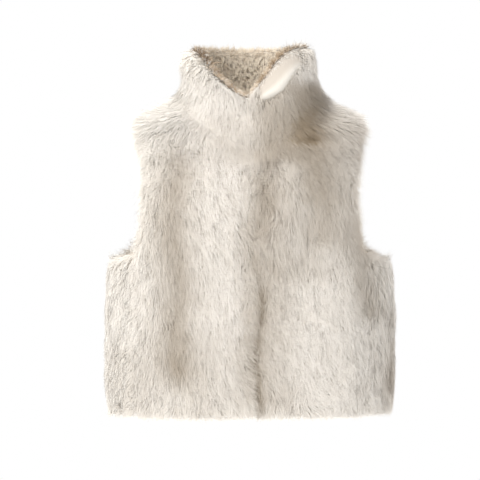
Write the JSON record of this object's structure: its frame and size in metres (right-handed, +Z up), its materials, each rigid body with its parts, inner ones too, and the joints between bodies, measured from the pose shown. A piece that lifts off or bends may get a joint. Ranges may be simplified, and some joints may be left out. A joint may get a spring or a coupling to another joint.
{
  "type": "faux fur vest",
  "caption": "Cropped sleeveless faux fur vest with a high stand collar, closed down the centre front, in its worn, open, hollow form.",
  "frame": {"origin": "between the wearer's shoulders at the base of the neck, where the vest hangs on the wearer", "axes": "+Z up along the wearer's spine, +X to the wearer's left, -Y out of the wearer's chest"},
  "size_m": [0.4266, 0.2626, 0.5451],
  "materials": {
    "long_pile": "long ivory faux fur, brushed down",
    "short_pile": "short tan faux fur",
    "facing_cloth": "smooth matt cloth"
  },
  "bodies": {
    "root": {"right_front": "long_pile", "left_front": "long_pile", "back": "long_pile", "collar_outer": "long_pile", "collar_inner": "short_pile", "collar_facing": "facing_cloth"}
  },
  "joints": []
}
